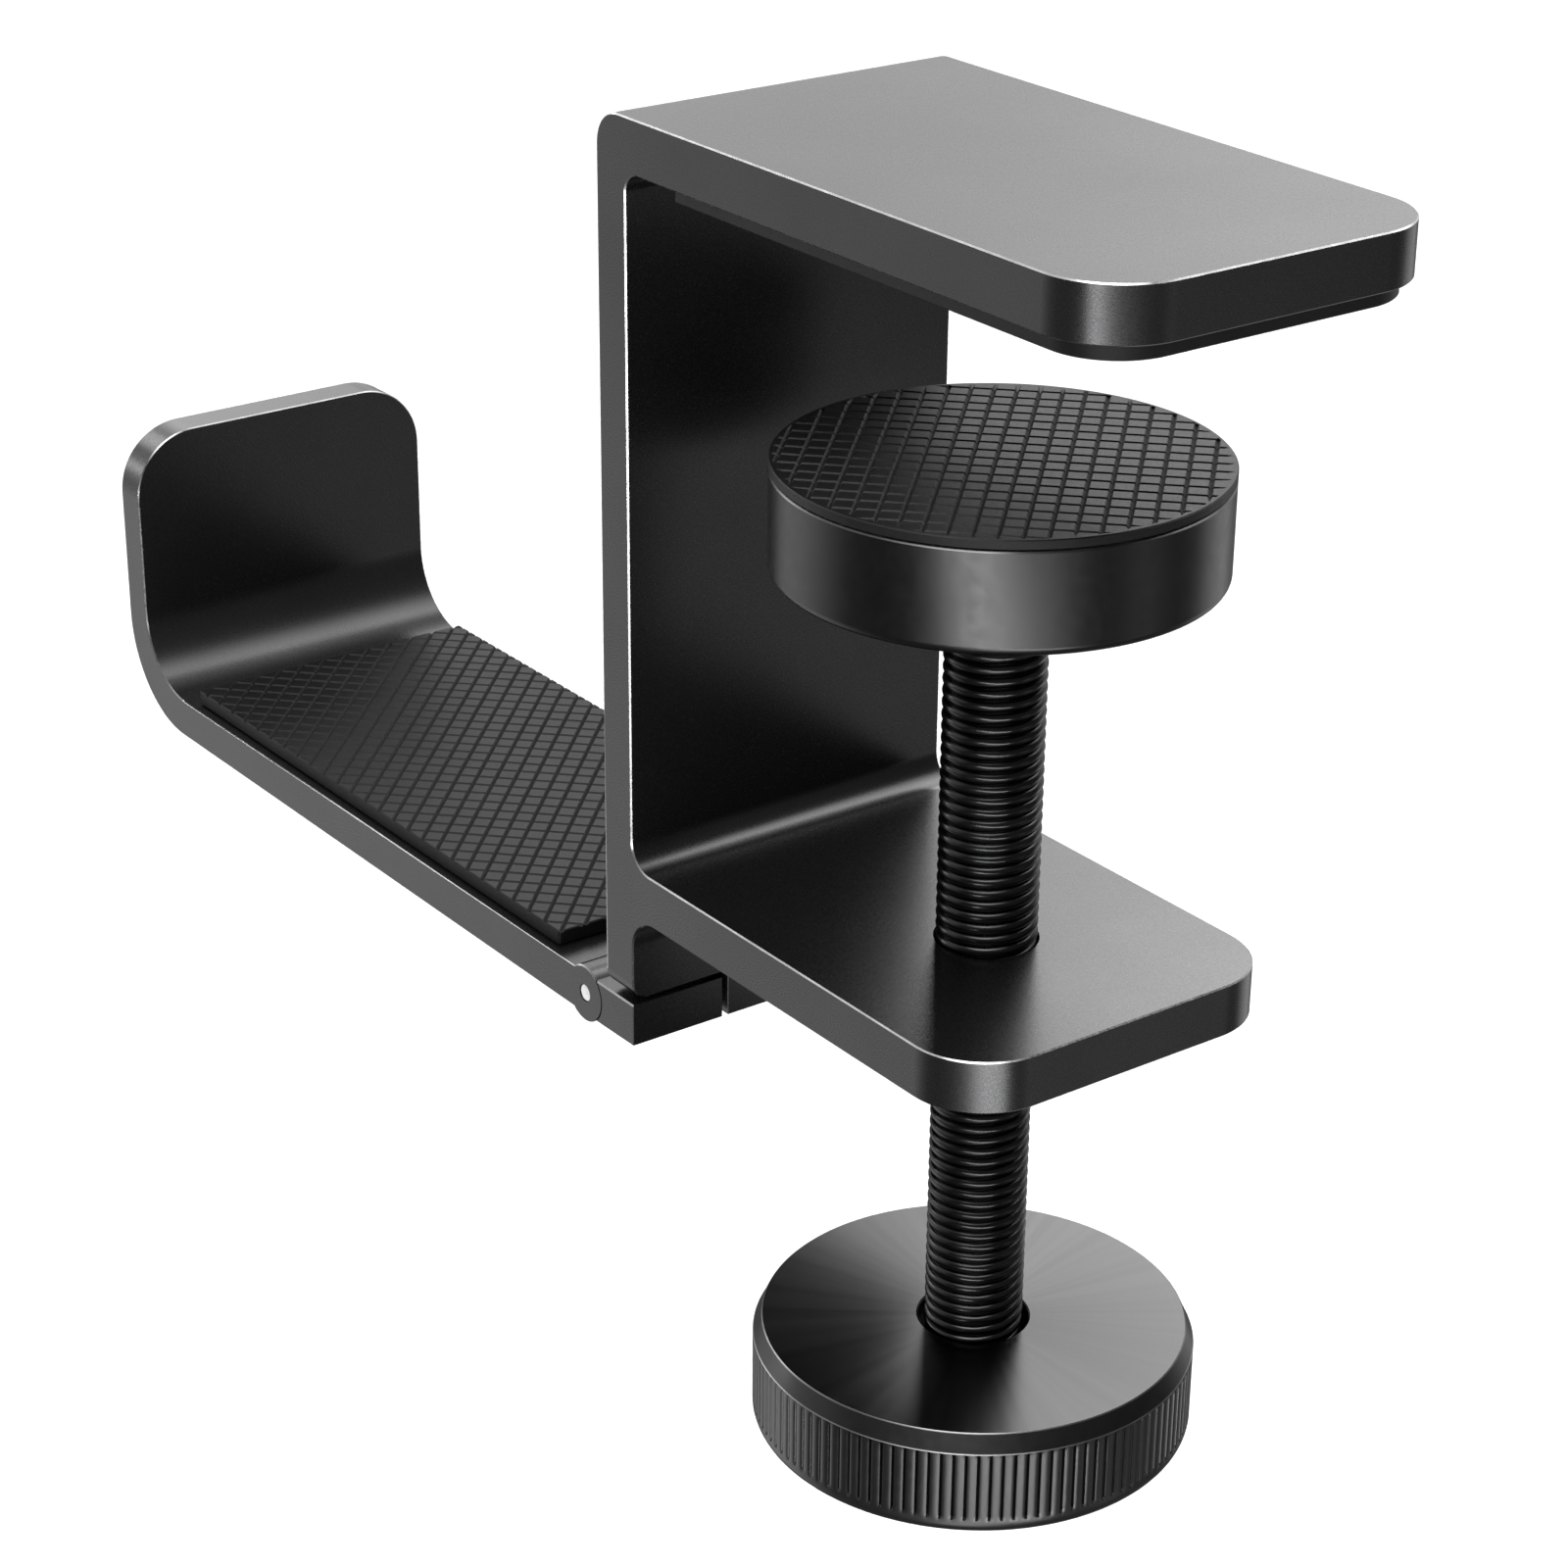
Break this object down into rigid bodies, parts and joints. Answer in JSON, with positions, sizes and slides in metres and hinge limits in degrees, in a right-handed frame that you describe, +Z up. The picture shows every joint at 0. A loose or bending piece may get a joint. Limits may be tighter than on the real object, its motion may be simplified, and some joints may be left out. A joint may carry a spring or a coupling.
{
  "type": "under-desk headphone hook",
  "caption": "Folding under-desk hook: aluminium C clamp with a knurled knob screw and swivelling pressure disc, and a hinged arm with a turned-up lip.",
  "frame": {"origin": "the point on the top jaw pad's underside, which rests on the desk top, where the clamp screw's axis meets it", "axes": "+Z up along the clamp screw's axis, from the knob to the top jaw; +X the way the clamp opens, towards the desk; the hook arm reaches out along -X; Y is across the width"},
  "size_m": [0.1815, 0.046, 0.134],
  "materials": {
    "anodised_aluminium": "fine bead-blasted, dark grey anodised, cut edges bright",
    "turned_aluminium": "turned, dark grey anodised, with fine concentric lines",
    "black_oxide_steel": "glossy black oxide",
    "plain_steel": "bright ground steel",
    "grip_rubber": "matt black rubber with a fine cross-hatched grip texture",
    "nylon": "natural nylon",
    "adhesive_film": "thin double-sided bonding film"
  },
  "bodies": {
    "frame": {"clamp_frame": "anodised_aluminium", "top_jaw_pad": "grip_rubber", "top_jaw_adhesive": "adhesive_film"},
    "hook": {"hook_arm": "anodised_aluminium", "arm_grip_pad": "grip_rubber", "arm_adhesive": "adhesive_film", "hinge_pin": "plain_steel", "hinge_washer_left": "nylon", "hinge_washer_right": "nylon"},
    "swivel_carrier": {"swivel_thrust_washer": "nylon"},
    "screw": {"clamp_screw": "black_oxide_steel", "knob": "turned_aluminium", "knob_retaining_screw": "plain_steel", "knob_washer": "plain_steel", "swivel_screw": "plain_steel", "swivel_head_washer": "nylon"},
    "disc": {"pressure_disc": "turned_aluminium", "disc_grip_pad": "grip_rubber", "disc_adhesive": "adhesive_film"}
  },
  "joints": [
    {"name": "hook_fold", "type": "hinge", "parent": "frame", "child": "hook", "pos_m": [-0.0424, 0, -0.0898], "axis": [0, 1, 0], "range_deg": [0, 90]},
    {"name": "screw_feed", "type": "slide", "parent": "frame", "child": "swivel_carrier", "axis": [0, 0, 1], "range_m": [-0.0385, 0.021]},
    {"name": "screw_spin", "type": "hinge", "parent": "swivel_carrier", "child": "screw", "pos_m": [0, 0, -0.08], "axis": [0, 0, 1], "range_deg": [-11080, 6040]},
    {"name": "disc_swivel", "type": "hinge", "parent": "swivel_carrier", "child": "disc", "pos_m": [0, 0, -0.0265], "axis": [0, 0, 1], "continuous": true}
  ],
  "couplings": [
    {"joint": "screw_feed", "follows": "screw_spin", "m_per_rad": 0.00019894}
  ]
}
